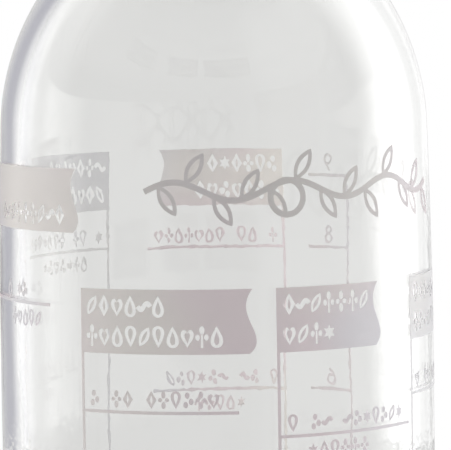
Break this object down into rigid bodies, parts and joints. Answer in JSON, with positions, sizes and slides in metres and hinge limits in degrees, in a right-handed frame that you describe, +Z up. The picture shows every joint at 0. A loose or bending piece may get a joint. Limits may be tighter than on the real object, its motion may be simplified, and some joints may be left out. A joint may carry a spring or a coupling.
{
  "type": "salad dressing shaker bottle",
  "caption": "Clear glass dressing bottle with printed recipe panels and a measuring scale, and a screw lid whose flip cap seals a pour spout.",
  "frame": {"origin": "middle of the foot, on the surface that the bottle stands on", "axes": "+Z up along the bottle's axis, -Y towards the front, where the spout pours, +X to the right"},
  "size_m": [0.064, 0.064, 0.1851],
  "materials": {
    "clear_glass": "clear polished",
    "enamel_print": "fired enamel",
    "lid_plastic": "fine satin",
    "insert_plastic": "satin",
    "seal_silicone": "matt",
    "pin_steel": "ground"
  },
  "bodies": {
    "bottle": {"glass_bottle": "clear_glass", "print_title_vine": "enamel_print", "print_scale": "enamel_print", "print_panel_1": "enamel_print", "print_panel_2": "enamel_print", "print_panel_3": "enamel_print", "print_panel_4": "enamel_print", "print_panel_5": "enamel_print", "print_panel_6": "enamel_print"},
    "seal": {"rim_gasket": "seal_silicone"},
    "lid": {"screw_collar": "lid_plastic", "pour_insert": "insert_plastic", "hinge_pin": "pin_steel"},
    "cap": {"flip_cap": "lid_plastic", "spout_plug": "seal_silicone", "vent_plug": "seal_silicone"}
  },
  "joints": [
    {"name": "lid_rise", "type": "slide", "parent": "bottle", "child": "seal", "axis": [0, 0, 1], "range_m": [0, 0.0048]},
    {"name": "lid_turn", "type": "hinge", "parent": "seal", "child": "lid", "pos_m": [0, 0, 0.167], "axis": [0, 0, 1], "range_deg": [0, 410]},
    {"name": "cap_flip", "type": "hinge", "parent": "lid", "child": "cap", "pos_m": [0, 0.02395, 0.17505], "axis": [-1, 0, 0], "range_deg": [0, 130]}
  ],
  "couplings": [
    {"joint": "lid_rise", "follows": "lid_turn", "m_per_rad": 0.00066845}
  ]
}
